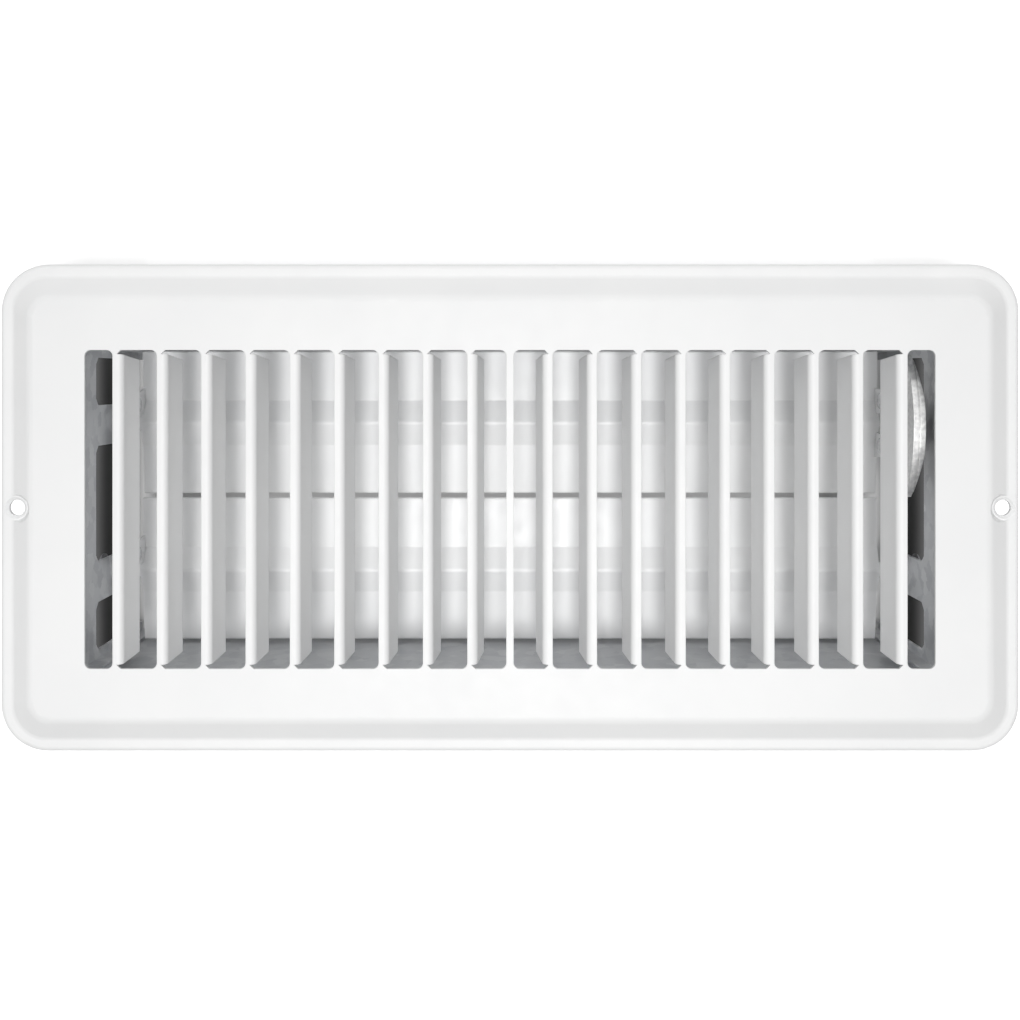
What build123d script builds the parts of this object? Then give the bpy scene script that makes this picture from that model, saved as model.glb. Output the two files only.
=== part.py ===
from build123d import *
import os
from math import asin, atan2, cos, degrees, radians, sin, tan

# Floor vent register: a stamped louvre face over a sheet-metal box with a two-blade damper.
# Millimetres. X runs along the face, Y across it, Z out of the floor.
# The origin is midway between the two screw holes, on the floor that the lip rests on.

# Face plate
face_length = 292.1
face_width = 139.7
face_corner_radius = 13.5
face_sheet = 0.9
lip_height = 2.0
lip_round = 1.4
rim_width = 3.8
bevel_run = 6.0
field_rise = 4.0
field_corner_radius = 6.0
field_crease_radius = 4.0
rim_crease_radius = 2.0

# Screw holes and their pressed seats
screw_inset = 4.55
screw_hole_radius = 2.25
screw_seat_radius = 3.5
screw_seat_draft = 2.0
screw_boss_radius = 3.6
screw_countersink_radius = 3.1
screw_countersink_depth = 0.9

# Louvre window: slots, bars and the fins lanced from the slots
end_border = 25.65
side_border = 24.75
louvre_pitch = 12.55
first_bar_offset = 11.05
bar_width = 2.1
bar_flat = 1.2
least_end_slot = 6.0
slot_corner_radius = 1.7
slot_fin_corner = 1.1
fin_depth = 10.3
fin_lean = 10.0
fin_bend_radius = 1.8
fin_end_taper = 1.5

# Damper box
box_sheet = 0.8
box_side_margin = 1.4
box_end_margin = 1.6
box_depth = 56.0
wall_flange = 6.0
wall_hem = 5.0
bend_radius = 0.7
end_strip_bottom = 8.0
end_leg_width = 3.2
end_leg_lift = 4.0
ear_width = 12.0
window_corner = 2.0

# Damper blades and their pivot rods
pivot_depth = 33.0
rod_radius = 1.5
rod_overhang = 3.0
pivot_clearance = 0.05
crimp_clearance = 0.02
blade_sheet = 0.7
blade_drop = 0.55
blade_wall_gap = 0.7
blade_centre_gap = 1.0
blade_end_gap = 6.0
blade_flange_gap = 1.3
blade_hem = 4.0
ridge_half_width = 7.0
blade_fold = 7.0
bead_end_gap = 0.3
washer_thickness = 0.8
washer_radius = 5.0
washer_clearance = 0.15
push_nut_radius = 5.0
push_nut_sheet = 0.5
push_nut_collar_radius = 2.7
push_nut_collar_height = 1.3
push_nut_sides = 12
push_nut_teeth = 6

# Link between the blades
crank_radius = 9.0
crank_angle = 50.0
crank_tab_radius = 3.6
crank_tab_inset = 2.8
crank_tab_base = 8.0
link_thickness = 1.0
link_width = 7.0
running_gap = 0.2
rivet_radius = 1.5
rivet_head_radius = 2.5
rivet_head_height = 0.9
rivet_sides = 12

# Thumb lever on the back blade
lever_recess = 5.0
lever_wall_gap = 2.6
lever_sheet = 1.2
lever_rim_width = 3.5
lever_rim_flat = 16.0
lever_tip_width = 1.7
lever_seam_width = 0.3
lever_seam_depth = 0.3
lever_hub_radius = 6.0
lever_rivet_offset = 7.0
lever_rivet_height = 5.4
lever_rivet_margin = 1.5

# Places worked out from the sizes above
field_top = lip_height + field_rise
field_under = field_top - face_sheet
field_inset = rim_width + bevel_run
screw_spacing = face_length - 2 * screw_inset
window_half_length = face_length / 2 - end_border
window_width = face_width - 2 * side_border
last_bar_limit = window_half_length - least_end_slot - bar_width / 2
louvre_rows = int((last_bar_limit - first_bar_offset) / louvre_pitch) + 1
end_inner = window_half_length + box_end_margin
end_outer = end_inner + box_sheet
wall_inner = window_width / 2 + box_side_margin
wall_outer = wall_inner + box_sheet
blade_width = wall_inner - blade_wall_gap - blade_centre_gap / 2
pivot_spacing = blade_width + blade_centre_gap
blade_half_length = end_inner - blade_end_gap
end_flange = box_sheet + blade_end_gap - blade_flange_gap
bead_inner = rod_radius + crimp_clearance
bead_outer = bead_inner + blade_sheet
bead_half_length = end_inner - bead_end_gap
rod_half_length = end_outer + rod_overhang
blade_top = blade_sheet / 2 - blade_drop
blade_under = blade_top - blade_sheet
crank_y = crank_radius * cos(radians(crank_angle))
crank_z = crank_radius * sin(radians(crank_angle))
lever_radius = pivot_depth + field_top - lever_recess
lever_reach = wall_inner - pivot_spacing / 2 - lever_wall_gap
lever_half_span = degrees(asin(lever_reach / lever_radius))
back_pivot = Pos(0, pivot_spacing / 2, -pivot_depth)
front_pivot = Pos(0, -pivot_spacing / 2, -pivot_depth)


def slab(length, width, radius, z):
    """A rounded rectangle centred on the Z axis at height z."""
    return Pos(0, 0, z) * RectangleRounded(length, width, radius)


def inset_slab(inset, radius, z):
    return slab(face_length - 2 * inset, face_width - 2 * inset, radius, z)


def along_x(sketch, start, end):
    """Extrude a sketch drawn in Y and Z from X = start to X = end."""
    return extrude(Plane.YZ.offset(start) * sketch, amount=end - start)


def rod_along_x(radius, start, end):
    return along_x(Circle(radius), start, end)


def prism_along_x(radius, sides, start, end):
    return along_x(RegularPolygon(radius, sides), start, end)


def headed_rivet(grip_start, grip_end):
    """A rivet along X with a flat head outside each end of its grip, many-sided to stay light."""
    rivet = prism_along_x(rivet_radius, rivet_sides, grip_start, grip_end)
    rivet += prism_along_x(rivet_head_radius, rivet_sides, grip_end, grip_end + rivet_head_height)
    return rivet + prism_along_x(rivet_head_radius, rivet_sides, grip_start - rivet_head_height, grip_start)


def fin_section():
    """Bend and leaf of one fin, in X and Z, from the line where the bar starts to turn down."""
    lean = radians(fin_lean)
    inner_radius = fin_bend_radius - face_sheet
    half_turn = radians((90 + fin_lean) / 2)
    drop_to_leaf = fin_bend_radius * (1 - sin(lean))
    leaf = (fin_depth - drop_to_leaf) / cos(lean)

    def on_bend(radius, angle):
        return (radius * cos(angle), radius * sin(angle) - fin_bend_radius)

    top_start = (0, 0)
    top_end = on_bend(fin_bend_radius, lean)
    tip = (top_end[0] + leaf * sin(lean), top_end[1] - leaf * cos(lean))
    tip_back = (tip[0] - face_sheet * cos(lean), tip[1] - face_sheet * sin(lean))
    under_end = on_bend(inner_radius, lean)
    under_start = (0, -face_sheet)
    outline = Line(under_start, top_start)
    outline += ThreePointArc(top_start, on_bend(fin_bend_radius, half_turn), top_end)
    outline += Line(top_end, tip)
    outline += Line(tip, tip_back)
    outline += Line(tip_back, under_end)
    outline += ThreePointArc(under_end, on_bend(inner_radius, half_turn), under_start)
    return make_face(outline)


def lanced_fin():
    """One fin with slanted ends, hinged at X = 0 and leaning towards +X."""
    half = window_width / 2 - slot_fin_corner
    leaf = extrude(Plane.XZ * fin_section(), amount=half, both=True)
    tip_half = half - fin_end_taper
    taper = Polyline((-half, 0), (half, 0), (tip_half, -fin_depth), (-tip_half, -fin_depth), close=True)
    trim = extrude(Plane.YZ * make_face(taper), amount=fin_depth, both=True)
    return Pos(0, 0, field_top) * (leaf & trim)


def louvre_slots():
    """The slots of one half of the window, as a sketch on the right of the centre bar."""
    slots = []
    start = bar_width / 2
    for row in range(louvre_rows):
        bar = first_bar_offset + louvre_pitch * row
        end = bar + bar_width / 2 - bar_flat
        slots.append((start, end))
        start = bar + bar_width / 2
    slots.append((start, window_half_length))
    end_low, end_high = slots.pop()
    end_slot = RectangleRounded(end_high - end_low, window_width, slot_corner_radius)
    sketch = Pos((end_low + end_high) / 2, 0) * end_slot
    for low, high in slots:
        slot = Rectangle(high - low, window_width)
        slot = fillet(slot.vertices().group_by(Axis.X)[0], slot_corner_radius)
        slot = chamfer(slot.vertices().group_by(Axis.X)[-1], slot_fin_corner)
        sketch += Pos((low + high) / 2, 0) * slot
    return sketch


def pressed_tray(inset):
    """The lip, bevel and raised field as one solid, drawn in by a sheet thickness for the hollow."""
    shift = inset * tan(atan2(field_rise, bevel_run) / 2)
    land = lip_height - inset
    lip = extrude(inset_slab(inset, face_corner_radius - inset, 0), land)
    raised = loft(
        [
            inset_slab(rim_width + shift, face_corner_radius - rim_width - shift, land),
            inset_slab(field_inset + shift, field_corner_radius - shift, land + field_rise),
        ],
        ruled=True,
    )
    return lip + raised


def outer_skin():
    """The tray with its creases softened and its lip rolled over."""

    def land(solid):
        return solid.faces().sort_by(lambda face: abs(face.center().Z - lip_height))[0]

    skin = pressed_tray(0)
    skin = fillet(skin.edges().group_by(Axis.Z)[-1], field_crease_radius)
    skin = fillet(land(skin).inner_wires()[0].edges(), rim_crease_radius)
    return fillet(land(skin).outer_wire().edges(), lip_round)


def face_plate():
    """One stamped sheet: lip, bevel, field, screw seats, slots and the fins turned down from them."""
    outside = outer_skin()
    face = outside - pressed_tray(face_sheet)
    base = (Align.CENTER, Align.CENTER, Align.MIN)
    seat_top = screw_seat_radius + screw_seat_draft
    countersink = Cone(screw_hole_radius, screw_countersink_radius, screw_countersink_depth, align=base)
    for x in (-screw_spacing / 2, screw_spacing / 2):
        shell = Cone(screw_seat_radius + face_sheet, seat_top + face_sheet, field_rise, align=base)
        floor = Cylinder(screw_seat_radius + face_sheet, face_sheet, align=base)
        boss = Cylinder(screw_boss_radius, lip_height, align=base)
        seat = Pos(0, 0, lip_height) * shell + Pos(0, 0, lip_height - face_sheet) * floor + boss
        face += outside & Pos(x, 0, 0) * seat
        face -= Pos(x, 0, lip_height) * Cone(screw_seat_radius, seat_top, field_rise, align=base)
        face -= Pos(x, 0, 0) * Cylinder(screw_hole_radius, lip_height, align=base)
        face -= Pos(x, 0, lip_height - screw_countersink_depth) * countersink
    slots = louvre_slots()
    slots += mirror(slots, about=Plane.YZ)
    face -= extrude(Pos(0, 0, field_under) * slots, amount=face_sheet)
    fin = lanced_fin()
    for row in range(louvre_rows):
        bar = first_bar_offset + louvre_pitch * row
        bend_line = bar + bar_width / 2 - bar_flat
        left_fin = Pos(-bend_line, 0, 0) * fin
        face += left_fin
        face += mirror(left_fin, about=Plane.YZ)
    return face


def side_wall():
    """The back wall: a flange welded under the field, a plain wall and a hem at its lower edge."""
    flange_end = wall_inner + wall_flange
    points = [
        (wall_inner, -box_depth),
        (wall_inner, field_under),
        (flange_end, field_under),
        (flange_end, field_under - box_sheet),
        (wall_outer, field_under - box_sheet),
        (wall_outer, -box_depth + wall_hem),
        (wall_outer + box_sheet, -box_depth + wall_hem),
        (wall_outer + box_sheet, -box_depth),
    ]
    section = make_face(Polyline(*points, close=True))
    bend_outside = section.vertices().sort_by_distance((wall_inner, field_under))[0]
    bend_inside = section.vertices().sort_by_distance((wall_outer, field_under - box_sheet))[0]
    section = fillet(bend_outside, bend_radius + box_sheet)
    section = fillet(
        section.vertices().sort_by_distance((bend_inside.X, bend_inside.Y))[0],
        bend_radius,
    )
    for corner in ((wall_inner, -box_depth), (wall_outer + box_sheet, -box_depth)):
        section = fillet(section.vertices().sort_by_distance(corner)[0], box_sheet * 0.9)
    return along_x(section, -end_outer, end_outer)


def end_plate():
    """The right end: a strip under the face, two pivot ears, and legs folded in along the side walls."""
    top = field_under
    strip_height = top + end_strip_bottom
    strip = Pos(0, top - strip_height / 2) * Rectangle(2 * wall_inner, strip_height)
    outline = strip
    ear_drop = pivot_depth - end_strip_bottom
    leg_bottom = -box_depth + end_leg_lift
    leg_height = top - leg_bottom
    for side in (-1, 1):
        pivot = Pos(side * pivot_spacing / 2, -pivot_depth)
        ear = Pos(0, ear_drop / 2) * Rectangle(ear_width, ear_drop) + Circle(ear_width / 2)
        outline += pivot * ear
        leg_y = side * (wall_inner - end_leg_width / 2)
        outline += Pos(leg_y, top - leg_height / 2) * Rectangle(end_leg_width, leg_height)
    strip_corners = outline.vertices().filter_by(lambda v: abs(v.Y + end_strip_bottom) < 1e-6)
    outline = chamfer(strip_corners, window_corner)
    for side in (-1, 1):
        outline -= Pos(side * pivot_spacing / 2, -pivot_depth) * Circle(rod_radius + pivot_clearance)
    plate = along_x(outline, end_inner, end_outer)
    low = (Align.MIN, Align.CENTER, Align.MAX)
    top_flange = Box(wall_flange, 2 * wall_inner, box_sheet, align=low)
    plate += Pos(end_outer - box_sheet, 0, top) * top_flange
    flange = Box(end_flange, box_sheet, leg_height, align=(Align.MAX, Align.CENTER, Align.MAX))
    for side in (-1, 1):
        plate += Pos(end_outer, side * (wall_inner - box_sheet / 2), top) * flange
    return plate


def blade_flat(start):
    """The flat of a blade from its ridge to its edge, in Y and Z, with the hem folded under."""
    width = blade_width / 2 - start
    flat = Pos(start + width / 2, (blade_top + blade_under) / 2) * Rectangle(width, blade_sheet)
    hem_y = (blade_width - blade_hem) / 2
    flat += Pos(hem_y, blade_under - blade_sheet / 2) * Rectangle(blade_hem, blade_sheet)
    return fillet(flat.vertices().group_by(Axis.X)[-1], blade_sheet * 0.9)


def blade_section():
    """Blade in Y and Z about its pivot: a ridge up to the bead, a level back half and a drooping front half."""
    reach = (ridge_half_width**2 + blade_top**2) ** 0.5
    rise = asin(bead_outer / reach) - atan2(blade_top, ridge_half_width)
    ring = Circle(bead_outer)
    section = ring - Pos(0, blade_under - bead_outer) * Rectangle(2 * bead_outer, 2 * bead_outer)
    flat_start = ridge_half_width - blade_sheet * sin(rise)
    for side in (-1, 1):
        top = (side * bead_outer * sin(rise), bead_outer * cos(rise))
        top_in = (side * bead_inner * sin(rise), bead_inner * cos(rise))
        foot = (side * ridge_half_width, blade_top)
        foot_in = (side * flat_start, blade_top - blade_sheet * cos(rise))
        section += make_face(Polyline(top, foot, foot_in, top_in, close=True))
    flat = blade_flat(flat_start)
    droop = Pos(-ridge_half_width, blade_top) * Rot(0, 0, blade_fold) * Pos(ridge_half_width, -blade_top)
    section += flat
    section += droop * mirror(flat, about=Plane.YZ)
    return section - Circle(bead_inner)


def bead_section():
    ring = Circle(bead_outer) - Circle(bead_inner)
    return ring - Pos(0, blade_under - bead_outer) * Rectangle(2 * bead_outer, 2 * bead_outer)


def end_tab(pin_y, pin_z, side):
    """A lug folded up from the end of a blade, in Y and Z, round a rivet hole."""
    base_y = side * (crank_tab_inset + crank_tab_base / 2)
    base = Pos(base_y, (blade_top + blade_under) / 2) * Rectangle(crank_tab_base, blade_sheet)
    eye = Pos(pin_y, pin_z) * Circle(crank_tab_radius)
    tab = make_hull(base.edges() + eye.edges())
    return tab - Pos(pin_y, pin_z) * Circle(rivet_radius + crimp_clearance)


def damper_blade(bead_end, lever_tabs):
    """A blade about its pivot, with a crank lug at its left end and lever lugs at its right end."""
    blade = along_x(blade_section(), -blade_half_length, blade_half_length)
    blade += along_x(bead_section(), -bead_half_length, bead_end)
    crank = end_tab(crank_y, crank_z, 1)
    blade += along_x(crank, -blade_half_length, -blade_half_length + blade_sheet)
    if lever_tabs:
        for side in (-1, 1):
            lug = end_tab(side * lever_rivet_offset, lever_rivet_height, side)
            blade += along_x(lug, blade_half_length - blade_sheet, blade_half_length)
    return blade


def pivot_rod():
    return rod_along_x(rod_radius, -rod_half_length, rod_half_length)


def push_nuts(pivot):
    """A pressed retainer on each end of a rod, outside the ears, its teeth held on the wire."""
    seat = end_outer + running_gap
    collar_end = seat + push_nut_collar_height
    nut = prism_along_x(push_nut_radius, push_nut_sides, seat, seat + push_nut_sheet)
    nut += prism_along_x(push_nut_collar_radius, push_nut_sides, seat, collar_end)
    teeth = RegularPolygon(rod_radius + crimp_clearance, push_nut_teeth, major_radius=False)
    nut -= along_x(teeth, seat, collar_end)
    return Compound(children=[pivot * nut, pivot * Rot(0, 0, 180) * nut])


def control_lever():
    """A fan-shaped arm round the bead, with its outer edge turned out as a thumb rim."""
    start = blade_half_length
    rim_inner = lever_radius - lever_sheet
    arm_arc = CenterArc((0, 0), lever_radius, 90 - lever_half_span, 2 * lever_half_span)
    bosses = Sketch()
    for side in (-1, 1):
        boss = Circle(rivet_head_radius + lever_rivet_margin)
        bosses += Pos(side * lever_rivet_offset, lever_rivet_height) * boss
    fan = make_hull(arm_arc.edges() + Circle(lever_hub_radius).edges() + bosses.edges())
    rim_arc = make_face(
        arm_arc
        + CenterArc((0, 0), rim_inner, 90 - lever_half_span, 2 * lever_half_span)
        + Line(arm_arc @ 0, (arm_arc @ 0) * (rim_inner / lever_radius))
        + Line(arm_arc @ 1, (arm_arc @ 1) * (rim_inner / lever_radius))
    )
    lever = along_x(fan, start, start + lever_sheet)
    rim = along_x(rim_arc, start, start + lever_rim_width)
    seam = start + (lever_rim_width - lever_seam_width) / 2
    groove = Circle(lever_radius) - Circle(lever_radius - lever_seam_depth)
    rim -= along_x(groove, seam, seam + lever_seam_width)
    plan = Polyline(
        (start, -lever_reach),
        (start + lever_tip_width, -lever_reach),
        (start + lever_rim_width, -lever_rim_flat / 2),
        (start + lever_rim_width, lever_rim_flat / 2),
        (start + lever_tip_width, lever_reach),
        (start, lever_reach),
        close=True,
    )
    lever += rim & extrude(make_face(plan), amount=lever_radius)
    lever -= rod_along_x(bead_outer + crimp_clearance, start, start + lever_sheet)
    for side in (-1, 1):
        place = Pos(0, side * lever_rivet_offset, lever_rivet_height)
        lever -= place * rod_along_x(rivet_radius + crimp_clearance, start, start + lever_sheet)
    return lever


def lever_rivets(pivot):
    """Two rivets through the lever and the lugs at the right end of the back blade."""
    rivet = headed_rivet(blade_half_length - blade_sheet, blade_half_length + lever_sheet)
    places = [Pos(0, side * lever_rivet_offset, lever_rivet_height) for side in (-1, 1)]
    return Compound(children=[pivot * place * rivet for place in places])


def link_bar():
    """The tie between the crank lugs, beside the left ends of the blades, about the back pivot."""
    bar = Pos(crank_y - pivot_spacing / 2, crank_z) * SlotCenterToCenter(pivot_spacing, link_width)
    for pin_y in (crank_y, crank_y - pivot_spacing):
        bar -= Pos(pin_y, crank_z) * Circle(rivet_radius + pivot_clearance)
    outer = -blade_half_length - running_gap
    return along_x(bar, outer - link_thickness, outer)


def link_rivet():
    """A shoulder rivet through a crank lug and the link, about the blade's pivot."""
    grip_start = -blade_half_length - link_thickness - 2 * running_gap
    rivet = headed_rivet(grip_start, -blade_half_length + blade_sheet)
    return Pos(0, crank_y, crank_z) * rivet


def friction_washer():
    end = end_inner - washer_clearance
    washer = rod_along_x(washer_radius, end - washer_thickness, end)
    return washer - rod_along_x(rod_radius + 2 * pivot_clearance, end - washer_thickness, end)


washer_space = washer_thickness + 2 * washer_clearance
wall = side_wall()
plate = end_plate()
parts = {
    "face_plate": face_plate(),
    "side_wall_back": wall,
    "side_wall_front": mirror(wall, about=Plane.XZ),
    "end_plate_left": mirror(plate, about=Plane.YZ),
    "end_plate_right": plate,
    "damper_blade_back": back_pivot * damper_blade(end_inner - washer_space, True),
    "damper_blade_front": front_pivot * damper_blade(bead_half_length, False),
    "pivot_rod_back": back_pivot * pivot_rod(),
    "pivot_rod_front": front_pivot * pivot_rod(),
    "push_nuts_back": push_nuts(back_pivot),
    "push_nuts_front": push_nuts(front_pivot),
    "control_lever": back_pivot * control_lever(),
    "lever_rivets": lever_rivets(back_pivot),
    "link_bar": back_pivot * link_bar(),
    "link_rivet_back": back_pivot * link_rivet(),
    "link_rivet_front": front_pivot * link_rivet(),
    "friction_washer": back_pivot * friction_washer(),
}

os.makedirs("parts", exist_ok=True)
for name, shape in parts.items():
    export_step(shape, f"parts/{name}.step")
    print(name, round(shape.volume, 1))
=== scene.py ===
import math

import bmesh
import bpy
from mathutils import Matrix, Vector


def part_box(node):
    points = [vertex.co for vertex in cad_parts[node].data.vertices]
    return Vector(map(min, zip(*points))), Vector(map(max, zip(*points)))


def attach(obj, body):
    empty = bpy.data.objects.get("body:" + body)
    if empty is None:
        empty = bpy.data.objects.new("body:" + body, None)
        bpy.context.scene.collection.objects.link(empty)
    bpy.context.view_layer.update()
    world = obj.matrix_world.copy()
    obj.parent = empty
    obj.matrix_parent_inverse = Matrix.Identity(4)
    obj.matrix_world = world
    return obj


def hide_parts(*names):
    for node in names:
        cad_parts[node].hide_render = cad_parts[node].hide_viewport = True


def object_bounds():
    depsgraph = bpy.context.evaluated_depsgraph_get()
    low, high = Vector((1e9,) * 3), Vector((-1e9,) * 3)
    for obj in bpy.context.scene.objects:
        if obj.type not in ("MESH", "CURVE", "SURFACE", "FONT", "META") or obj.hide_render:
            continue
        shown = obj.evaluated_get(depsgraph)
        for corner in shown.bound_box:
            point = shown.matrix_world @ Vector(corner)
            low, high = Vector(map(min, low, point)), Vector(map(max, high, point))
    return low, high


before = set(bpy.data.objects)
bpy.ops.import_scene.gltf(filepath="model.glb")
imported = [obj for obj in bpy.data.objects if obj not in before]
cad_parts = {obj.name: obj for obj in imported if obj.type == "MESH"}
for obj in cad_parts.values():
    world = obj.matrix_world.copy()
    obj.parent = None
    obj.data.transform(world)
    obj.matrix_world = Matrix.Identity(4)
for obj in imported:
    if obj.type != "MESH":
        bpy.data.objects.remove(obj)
cad_low, cad_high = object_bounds()

# Face plate: one stamping of thin sheet steel, with the louvre fins lanced and turned down from it.
# It is sprayed with white enamel, which leaves a faint orange peel and rounds over the cut edges.
face_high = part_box("face_plate")[1]
ENAMEL_WHITE = (0.885, 0.887, 0.885, 1.0)
ENAMEL_SHADE = (0.865, 0.868, 0.868, 1.0)
ENAMEL_SPECULAR = 0.45
ENAMEL_EDGE_ROUND = 0.00035
CLOUD_PER_METRE = 38.0
GLOSS_PER_METRE = 210.0
ORANGE_PEEL_PER_METRE = 1100.0
ORANGE_PEEL_STRENGTH = 0.25
FACE_ROUGHNESS = 0.50
FACE_PEEL_DEPTH = 0.00005


def start_finish(name):
    """A new node material, with its shader, and the coordinates of the piece in metres."""
    material = bpy.data.materials.new(name)
    material.use_nodes = True
    tree = material.node_tree
    shader = tree.nodes["Principled BSDF"]
    place = tree.nodes.new("ShaderNodeTexCoord")
    return material, tree, shader, place.outputs["Object"]


def noise(tree, place, per_metre, detail=3.0, stretch=None):
    """Noise over the piece, stretched along an axis where the finish has a grain."""
    if stretch is not None:
        mapping = tree.nodes.new("ShaderNodeMapping")
        mapping.inputs["Scale"].default_value = stretch
        tree.links.new(place, mapping.inputs["Vector"])
        place = mapping.outputs["Vector"]
    texture = tree.nodes.new("ShaderNodeTexNoise")
    texture.inputs["Scale"].default_value = per_metre
    texture.inputs["Detail"].default_value = detail
    tree.links.new(place, texture.inputs["Vector"])
    return texture.outputs["Fac"]


def tint(tree, factor, low_colour, high_colour, low=0.35, high=0.65):
    """A colour between two tones, driven by a texture."""
    ramp = tree.nodes.new("ShaderNodeValToRGB")
    ramp.color_ramp.elements[0].position = low
    ramp.color_ramp.elements[0].color = low_colour
    ramp.color_ramp.elements[1].position = high
    ramp.color_ramp.elements[1].color = high_colour
    tree.links.new(factor, ramp.inputs["Fac"])
    return ramp.outputs["Color"]


def spread(tree, factor, low, high):
    """A number between two limits, driven by a texture."""
    node = tree.nodes.new("ShaderNodeMapRange")
    node.inputs["From Min"].default_value = 0.3
    node.inputs["From Max"].default_value = 0.7
    node.inputs["To Min"].default_value = low
    node.inputs["To Max"].default_value = high
    tree.links.new(factor, node.inputs["Value"])
    return node.outputs["Result"]


def relief(tree, shader, height, distance, strength, edge_round=0.0):
    """Bump on the shader, laid over edges that are rounded by edge_round."""
    bump = tree.nodes.new("ShaderNodeBump")
    bump.inputs["Distance"].default_value = distance
    bump.inputs["Strength"].default_value = strength
    tree.links.new(height, bump.inputs["Height"])
    if edge_round:
        bevel = tree.nodes.new("ShaderNodeBevel")
        bevel.samples = 6
        bevel.inputs["Radius"].default_value = edge_round
        tree.links.new(bevel.outputs["Normal"], bump.inputs["Normal"])
    tree.links.new(bump.outputs["Normal"], shader.inputs["Normal"])


def wear(finish, *nodes):
    """Give CAD nodes their finish."""
    for node in nodes:
        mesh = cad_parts[node].data
        mesh.materials.clear()
        mesh.materials.append(finish)


def enamel(name, bright, shade, roughness, peel_depth):
    """Sprayed enamel: nearly even white, with orange peel and slight changes of gloss."""
    material, tree, shader, place = start_finish(name)
    cloud = noise(tree, place, CLOUD_PER_METRE)
    peel = noise(tree, place, ORANGE_PEEL_PER_METRE, detail=1.5)
    tree.links.new(tint(tree, cloud, shade, bright), shader.inputs["Base Color"])
    gloss = noise(tree, place, GLOSS_PER_METRE)
    gloss = spread(tree, gloss, roughness - 0.04, roughness + 0.05)
    tree.links.new(gloss, shader.inputs["Roughness"])
    shader.inputs["Specular IOR Level"].default_value = ENAMEL_SPECULAR
    relief(tree, shader, peel, peel_depth, ORANGE_PEEL_STRENGTH, ENAMEL_EDGE_ROUND)
    return material


face_enamel = enamel("face_enamel", ENAMEL_WHITE, ENAMEL_SHADE, FACE_ROUGHNESS, FACE_PEEL_DEPTH)
wear(face_enamel, "face_plate")

# Damper box: two long walls and two end plates, sheared and folded from zinc-coated sheet.
# The walls are spot welded to the underside of the face and to the folded edges of the end plates.
# They get a darker copy of the plates' zinc: painted shade for walls that stand deep in the box.
ZINC_PALE = (0.67, 0.68, 0.69, 1.0)
ZINC_DARK = (0.51, 0.52, 0.54, 1.0)
# Painted shade: the walls' zinc tones, darker than the plates' own.
WALL_PALE_PAINTED_SHADE = (0.52, 0.53, 0.54, 1.0)
WALL_DARK_PAINTED_SHADE = (0.39, 0.40, 0.42, 1.0)
BOX_ROUGHNESS = 0.45
WALL_ROUGHNESS = 0.48
ZINC_METALLIC = 0.75
ZINC_EDGE_ROUND = 0.0002
SPANGLE_PER_METRE = 240.0
FEATHER_PER_METRE = 650.0
FEATHER_REACH = 0.0022
ROLLING_PER_METRE = 420.0
ROLLING_STRETCH = (0.05, 1.0, 1.0)
ROLLING_DEPTH = 0.00004
ROLLING_STRENGTH = 0.3


def zinc_sheet(name, outside_painted_shade, dark, roughness):
    """Hot-dip zinc: feathered crystals of slightly different tone and gloss, with faint rolling lines."""
    material, tree, shader, place = start_finish(name)
    feather = tree.nodes.new("ShaderNodeTexNoise")
    feather.inputs["Scale"].default_value = FEATHER_PER_METRE
    tree.links.new(place, feather.inputs["Vector"])
    feathered = tree.nodes.new("ShaderNodeVectorMath")
    feathered.operation = "MULTIPLY_ADD"
    tree.links.new(feather.outputs["Color"], feathered.inputs[0])
    feathered.inputs[1].default_value = (FEATHER_REACH, FEATHER_REACH, FEATHER_REACH)
    tree.links.new(place, feathered.inputs[2])
    crystals = tree.nodes.new("ShaderNodeTexVoronoi")
    crystals.inputs["Scale"].default_value = SPANGLE_PER_METRE
    tree.links.new(feathered.outputs["Vector"], crystals.inputs["Vector"])
    split = tree.nodes.new("ShaderNodeSeparateColor")
    tree.links.new(crystals.outputs["Color"], split.inputs["Color"])
    tone = split.outputs["Red"]
    tree.links.new(tint(tree, tone, dark, outside_painted_shade, 0.05, 0.95), shader.inputs["Base Color"])
    tree.links.new(spread(tree, tone, roughness - 0.06, roughness + 0.08), shader.inputs["Roughness"])
    shader.inputs["Metallic"].default_value = ZINC_METALLIC
    lines = noise(tree, place, ROLLING_PER_METRE, stretch=ROLLING_STRETCH)
    relief(tree, shader, lines, ROLLING_DEPTH, ROLLING_STRENGTH, ZINC_EDGE_ROUND)
    return material


box_zinc = zinc_sheet("box_zinc", ZINC_PALE, ZINC_DARK, BOX_ROUGHNESS)
wear(box_zinc, "end_plate_left", "end_plate_right")
# The walls wear the darker zinc, painted shade for the inside of the box.
wall_zinc_painted_shade = zinc_sheet("wall_zinc_painted_shade", WALL_PALE_PAINTED_SHADE, WALL_DARK_PAINTED_SHADE, WALL_ROUGHNESS)
wear(wall_zinc_painted_shade, "side_wall_back", "side_wall_front")

# Damper blades: two strips of thin sheet, hemmed along both edges, with a bead rolled round the rod.
# They are sprayed white like the face, in a smoother coat; their white is set a little lighter than the
# face's, painted light for blades in the shade under the fins.
# Painted light: both blade tones are lighter than the face's enamel.
BLADE_WHITE_PAINTED_LIGHT = (0.900, 0.902, 0.901, 1.0)
BLADE_TONE_PAINTED_LIGHT = (0.875, 0.878, 0.879, 1.0)
BLADE_ROUGHNESS = 0.38
BLADE_PEEL_DEPTH = 0.00006
blade_enamel = enamel("blade_enamel", BLADE_WHITE_PAINTED_LIGHT, BLADE_TONE_PAINTED_LIGHT, BLADE_ROUGHNESS, BLADE_PEEL_DEPTH)
wear(blade_enamel, "damper_blade_back", "damper_blade_front")

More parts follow.
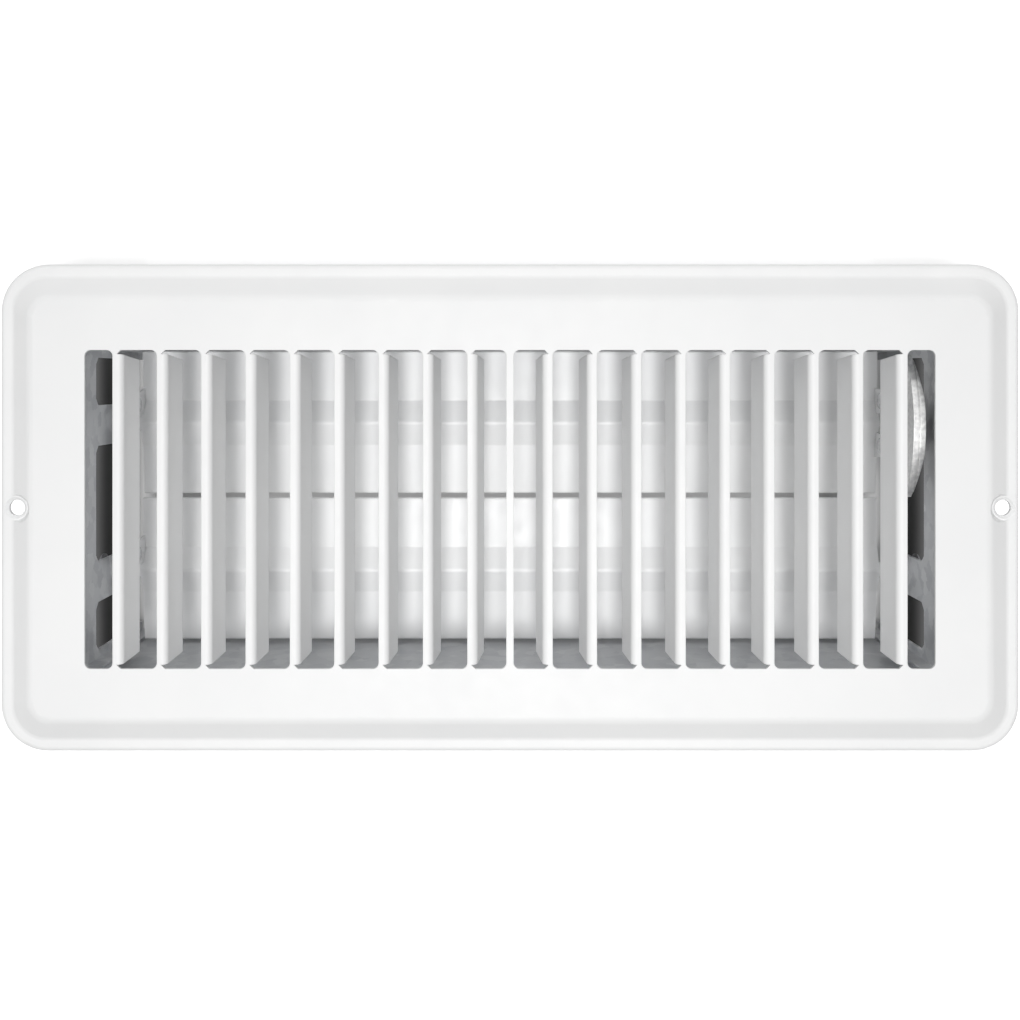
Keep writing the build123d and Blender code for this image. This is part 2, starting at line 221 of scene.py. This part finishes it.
# Pivot rods: drawn steel wire, cut to length and crimped into the beads of the blades.
# Drawing leaves fine lines along the wire.
ROD_PALE = (0.62, 0.62, 0.63, 1.0)
ROD_DARK = (0.46, 0.46, 0.47, 1.0)
ROD_ROUGHNESS = 0.34
LINES_PER_METRE = 900.0
LINE_DETAIL = 4.0
LINE_DEPTH = 0.00003
LINE_STRENGTH = 0.25
ALONG_X = (0.02, 1.0, 1.0)


def drawn_steel(name, outside_painted_shade, dark, roughness, stretch):
    """Bare or plated steel with fine lines along one direction."""
    material, tree, shader, place = start_finish(name)
    lines = noise(tree, place, LINES_PER_METRE, detail=LINE_DETAIL, stretch=stretch)
    tree.links.new(tint(tree, lines, dark, outside_painted_shade), shader.inputs["Base Color"])
    tree.links.new(spread(tree, lines, roughness - 0.05, roughness + 0.07), shader.inputs["Roughness"])
    shader.inputs["Metallic"].default_value = 1.0
    relief(tree, shader, lines, LINE_DEPTH, LINE_STRENGTH, ZINC_EDGE_ROUND)
    return material


rod_steel = drawn_steel("rod_steel", ROD_PALE, ROD_DARK, ROD_ROUGHNESS, ALONG_X)
wear(rod_steel, "pivot_rod_back", "pivot_rod_front")

# Push nuts and friction washer: stamped from dark spring steel.
# The nuts bite the rod ends outside the ears; the washer drags on the ear beside the lever.
SPRING_PALE = (0.26, 0.26, 0.27, 1.0)
SPRING_DARK = (0.15, 0.15, 0.16, 1.0)
SPRING_ROUGHNESS = 0.42
EVEN = (1.0, 1.0, 1.0)
NUT_SHEET = 0.0005
NUT_TOOTH_GAPS = 6
NUT_GAP_SHARE = 0.22
ROUND_STEPS = 48
SHARP_FROM_DEGREES = 40
spring_steel = drawn_steel("spring_steel", SPRING_PALE, SPRING_DARK, SPRING_ROUGHNESS, EVEN)
wear(spring_steel, "friction_washer")


def turned(shell, profile, origin, outward, notch=None):
    """Add a profile of (radius, distance) pairs, turned about X at origin, to a bmesh."""
    rings = []
    for radius, along in profile:
        ring = []
        for step in range(ROUND_STEPS):
            angle = 2 * math.pi * step / ROUND_STEPS
            size = notch(radius, angle) if notch else radius
            offset = Vector((outward * along, size * math.cos(angle), size * math.sin(angle)))
            ring.append(shell.verts.new(origin + offset))
        rings.append(ring)
    for inner, outer in zip(rings, rings[1:]):
        for step in range(ROUND_STEPS):
            follow = (step + 1) % ROUND_STEPS
            shell.faces.new((inner[step], inner[follow], outer[follow], outer[step]))
    return rings


def show_piece(name, shell, finish, body, slot, *nodes):
    """Make a mesh piece from a bmesh in place of CAD nodes, riding on their body."""
    bmesh.ops.remove_doubles(shell, verts=shell.verts, dist=1e-7)
    bmesh.ops.recalc_face_normals(shell, faces=shell.faces)
    mesh = bpy.data.meshes.new(name)
    shell.to_mesh(mesh)
    shell.free()
    mesh.materials.append(finish)
    for polygon in mesh.polygons:
        polygon.use_smooth = True
    mesh.set_sharp_from_angle(angle=math.radians(SHARP_FROM_DEGREES))
    piece = bpy.data.objects.new(name, mesh)
    bpy.context.scene.collection.objects.link(piece)
    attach(piece, body)
    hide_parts(*nodes)
    return piece


def dished_nuts(node, rod, body):
    """The two push nuts of a rod: a dished washer each, with teeth bent out against the wire."""
    low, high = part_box(node)
    rod_low, rod_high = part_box(rod)
    wire = (rod_high.z - rod_low.z) / 2
    rim = (high.z - low.z) / 2
    collar = high.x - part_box("end_plate_right")[1].x
    tooth_gap = wire * 0.45

    def teeth(radius, angle):
        slit = abs(math.sin(NUT_TOOTH_GAPS * angle / 2)) < NUT_GAP_SHARE
        return radius + tooth_gap if slit and radius < wire * 1.3 else radius

    profile = [
        (wire, collar * 0.94),
        (wire * 1.25, collar),
        (wire * 1.75, collar * 0.82),
        (wire * 2.1, NUT_SHEET * 1.6),
        (rim * 0.88, NUT_SHEET * 1.1),
        (rim, NUT_SHEET * 0.9),
        (rim, 0.0),
        (wire * 2.0, 0.0),
        (wire * 1.6, collar * 0.45),
        (wire, collar * 0.7),
        (wire, collar * 0.94),
    ]
    shell = bmesh.new()
    middle = (rod_low + rod_high) / 2
    seat = (high.x - low.x) / 2 - collar
    for outward in (-1, 1):
        turned(shell, profile, Vector((outward * seat, middle.y, middle.z)), outward, teeth)
    show_piece(node + "_dished", shell, spring_steel, body, "spring_steel", node)


dished_nuts("push_nuts_back", "pivot_rod_back", "back_damper")
dished_nuts("push_nuts_front", "pivot_rod_front", "front_damper")

# Control lever: a fan of bright zinc-plated steel, its outer edge turned out as a thumb rim.
# It sits on the end of the back blade, with its rim just under the slot at the right of the face.
LEVER_PALE = (0.74, 0.74, 0.73, 1.0)
LEVER_DARK = (0.56, 0.56, 0.56, 1.0)
LEVER_ROUGHNESS = 0.34
lever_zinc = drawn_steel("lever_zinc", LEVER_PALE, LEVER_DARK, LEVER_ROUGHNESS, EVEN)
wear(lever_zinc, "control_lever")

# Rivets: soft zinc-plated steel, peened to a low dome at both ends.
# Two hold the lever to the back blade; one at each blade's left end carries the link.
RIVET_ROUGHNESS = 0.30
DOME_STEPS = 6
DOME_SHARE = 0.36
SHANK_SHARE = 0.6
rivet_zinc = drawn_steel("rivet_zinc", ROD_PALE, ROD_DARK, RIVET_ROUGHNESS, EVEN)


def domed_rivets(node, body):
    """Round rivets with domed heads, where the CAD node has many-sided ones."""
    low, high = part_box(node)
    head = (high.z - low.z) / 2
    dome = head * DOME_SHARE
    shank = head * SHANK_SHARE
    middle_z = (low.z + high.z) / 2
    places = {round(low.y + head, 6), round(high.y - head, 6)}
    shell = bmesh.new()
    for y in sorted(places):
        for outward, base in ((-1, low.x + dome), (1, high.x - dome)):
            profile = [(shank, 0.0), (head * 0.97, 0.0), (head, dome * 0.12)]
            for step in range(1, DOME_STEPS + 1):
                turn = math.pi / 2 * step / DOME_STEPS
                profile.append((head * math.cos(turn), dome * (0.12 + 0.88 * math.sin(turn))))
            turned(shell, profile, Vector((base, y, middle_z)), outward)
        barrel = [(shank, 0.0), (shank, high.x - low.x - 2 * dome)]
        turned(shell, barrel, Vector((low.x + dome, y, middle_z)), 1)
    show_piece(node + "_domed", shell, rivet_zinc, body, "rivet_steel", node)


domed_rivets("lever_rivets", "back_damper")
domed_rivets("link_rivet_back", "back_damper")
domed_rivets("link_rivet_front", "front_damper")

# Link bar: a flat zinc-coated strip, riveted to a lug on each blade at the left end.
# It makes both blades turn together.
wear(box_zinc, "link_bar")

# Floor and light: a white floor with painted shade and painted light on it, and a round softbox high
# above, a little to the front, so that its light reaches the blades between the fins. A broad light from
# the back and a weak fill help it.
# The floor is painted dark beside both end plates, a painted shadow under the ends of the face, so that
# the end windows show dark as in the photograph.
FLOOR_HALF = 3.0
FLOOR_WHITE = (0.90, 0.90, 0.90, 1.0)
# Painted shade: the dark floor colour beside both end plates, under the ends of the face.
PAINTED_SHADE_AT_ENDS = (0.070, 0.070, 0.070, 1.0)
FLOOR_LIFT_NEAR = 0.58
FLOOR_LIFT_FAR = 0.80
LIFT_FROM = 0.25
LIFT_TO = 0.90
# Painted light: inside the box the floor glows to seen rays, so the gaps between the blades read lighter.
GAP_PAINTED_LIGHT = 0.24
GAP_PAINTED_LIGHT_FROM = 0.075
GAP_PAINTED_LIGHT_TO = 0.112
SHADE_INSET = 0.012
SHADE_FADE = 0.020
END_FADE = 0.030
END_FADE_INSIDE = 0.007
FLOOR_ROUGHNESS = 0.9
floor_mesh = bpy.data.meshes.new("floor")
floor_signs = ((-1, -1), (1, -1), (1, 1), (-1, 1))
floor_corners = [(x * FLOOR_HALF, y * FLOOR_HALF, cad_low.z) for x, y in floor_signs]
floor_mesh.from_pydata(floor_corners, [], [(0, 1, 2, 3)])
floor = bpy.data.objects.new("floor", floor_mesh)
bpy.context.scene.collection.objects.link(floor)


def math_node(tree, operation, *values):
    """The result of a math node on sockets or plain numbers."""
    node = tree.nodes.new("ShaderNodeMath")
    node.operation = operation
    for index, value in enumerate(values):
        if isinstance(value, (int, float)):
            node.inputs[index].default_value = value
        else:
            tree.links.new(value, node.inputs[index])
    return node.outputs["Value"]


def ramped(tree, value, start, stop, low=0.0, high=1.0):
    """A smooth step from low to high, as value runs from start to stop."""
    step = tree.nodes.new("ShaderNodeMapRange")
    step.interpolation_type = "SMOOTHSTEP"
    for name, number in (("From Min", start), ("From Max", stop), ("To Min", low), ("To Max", high)):
        step.inputs[name].default_value = number
    tree.links.new(value, step.inputs["Value"])
    return step.outputs["Result"]


def seen_rays(tree):
    """1 for rays from the camera or a reflection, 0 for the rays that light the object."""
    rays = tree.nodes.new("ShaderNodeLightPath")
    seen = math_node(tree, "MAXIMUM", rays.outputs["Is Camera Ray"], rays.outputs["Is Glossy Ray"])
    return math_node(tree, "MAXIMUM", seen, rays.outputs["Is Transmission Ray"])


# The floor's material carries the painted shade at the ends and the painted light inside the box.
floor_finish, floor_tree, floor_shader, floor_place = start_finish("floor_with_painted_shade_and_light")
floor_axes = floor_tree.nodes.new("ShaderNodeSeparateXYZ")
floor_tree.links.new(floor_place, floor_axes.inputs["Vector"])
away_x = math_node(floor_tree, "ABSOLUTE", floor_axes.outputs["X"])
away_y = math_node(floor_tree, "ABSOLUTE", floor_axes.outputs["Y"])
shade_x = face_high.x - SHADE_INSET
shade_y = face_high.y - SHADE_INSET
past_x = ramped(floor_tree, away_x, shade_x, shade_x + SHADE_FADE)
past_y = ramped(floor_tree, away_y, shade_y, shade_y + SHADE_FADE)
past_face = math_node(floor_tree, "MAXIMUM", past_x, past_y)
box_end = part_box("end_plate_right")[1].x
wall_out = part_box("side_wall_back")[1].y
# Painted shade mask: the floor is dark between each end plate and the end of the face, and pale inside
# the box, past the face and past the side walls.
inside_box = ramped(floor_tree, away_x, box_end, box_end - END_FADE_INSIDE)
past_wall = ramped(floor_tree, away_y, wall_out, wall_out + END_FADE)
past_end = ramped(floor_tree, away_x, shade_x, shade_x + END_FADE)
outside_painted_shade = math_node(floor_tree, "MAXIMUM", past_end, past_wall)
outside_painted_shade = math_node(floor_tree, "MAXIMUM", outside_painted_shade, inside_box)
floor_colour = tint(floor_tree, outside_painted_shade, PAINTED_SHADE_AT_ENDS, FLOOR_WHITE, 0.0, 1.0)
floor_tree.links.new(floor_colour, floor_shader.inputs["Base Color"])
floor_shader.inputs["Roughness"].default_value = FLOOR_ROUGHNESS
floor_shader.inputs["Specular IOR Level"].default_value = 0.0
floor_shader.inputs["Emission Color"].default_value = (1.0, 1.0, 1.0, 1.0)
distance = math_node(floor_tree, "MAXIMUM", away_x, away_y)
lift = ramped(floor_tree, distance, LIFT_FROM, LIFT_TO, FLOOR_LIFT_NEAR, FLOOR_LIFT_FAR)
lift = math_node(floor_tree, "MULTIPLY", lift, past_face)
# Painted light: the floor under the box glows to seen rays near the middle, fading out towards the end
# plates.
gap_painted_light = ramped(floor_tree, away_x, GAP_PAINTED_LIGHT_FROM, GAP_PAINTED_LIGHT_TO, GAP_PAINTED_LIGHT, 0.0)
lift = math_node(floor_tree, "MAXIMUM", lift, gap_painted_light)
lift = math_node(floor_tree, "MULTIPLY", lift, seen_rays(floor_tree))
floor_tree.links.new(lift, floor_shader.inputs["Emission Strength"])
floor_mesh.materials.append(floor_finish)

SOFTBOX_HEIGHT = 0.75
SOFTBOX_Y = -0.09
SOFTBOX_SIZE = 0.20
SOFTBOX_WATTS = 3.80
softbox_data = bpy.data.lights.new("softbox", "AREA")
softbox_data.shape = "DISK"
softbox_data.size = SOFTBOX_SIZE
softbox_data.energy = SOFTBOX_WATTS
softbox = bpy.data.objects.new("softbox", softbox_data)
softbox.location = (0.0, SOFTBOX_Y, face_high.z + SOFTBOX_HEIGHT)
bpy.context.scene.collection.objects.link(softbox)

BROAD_STRENGTH = 0.78
BROAD_SPREAD = math.radians(84)
BROAD_FROM = Vector((-0.30, 1.35, 1.0))
broad_data = bpy.data.lights.new("broad", "SUN")
broad_data.energy = BROAD_STRENGTH
broad_data.angle = BROAD_SPREAD
broad = bpy.data.objects.new("broad", broad_data)
broad.rotation_mode = "QUATERNION"
broad.rotation_quaternion = BROAD_FROM.to_track_quat("Z", "Y")
bpy.context.scene.collection.objects.link(broad)

AMBIENT = 0.22
world = bpy.data.worlds.new("studio")
world.use_nodes = True
bpy.context.scene.world = world
sky = world.node_tree.nodes["Background"]
sky.inputs["Color"].default_value = (1.0, 1.0, 1.0, 1.0)
level = ramped(world.node_tree, seen_rays(world.node_tree), 0.0, 1.0, AMBIENT, 1.0)
world.node_tree.links.new(level, sky.inputs["Strength"])

# Camera: square on to the face, a little above its middle, with the lens shifted down to centre it.
PHOTO_PIXELS = 1020
CAMERA_HEIGHT = 0.335
FOCAL_PIXELS = 1184.0
CAMERA_Y = 0.0365
FOOT_ROW = 380.5
SENSOR = 36.0
camera_data = bpy.data.cameras.new("camera")
camera_data.sensor_width = SENSOR
camera_data.lens = SENSOR * FOCAL_PIXELS / PHOTO_PIXELS
camera_data.shift_y = (FOOT_ROW - PHOTO_PIXELS / 2) / PHOTO_PIXELS
camera_data.clip_start = 0.01
camera = bpy.data.objects.new("camera", camera_data)
camera.location = (0.0, CAMERA_Y, face_high.z + CAMERA_HEIGHT)
bpy.context.scene.collection.objects.link(camera)
bpy.context.scene.camera = camera
bpy.context.scene.view_settings.view_transform = "Standard"
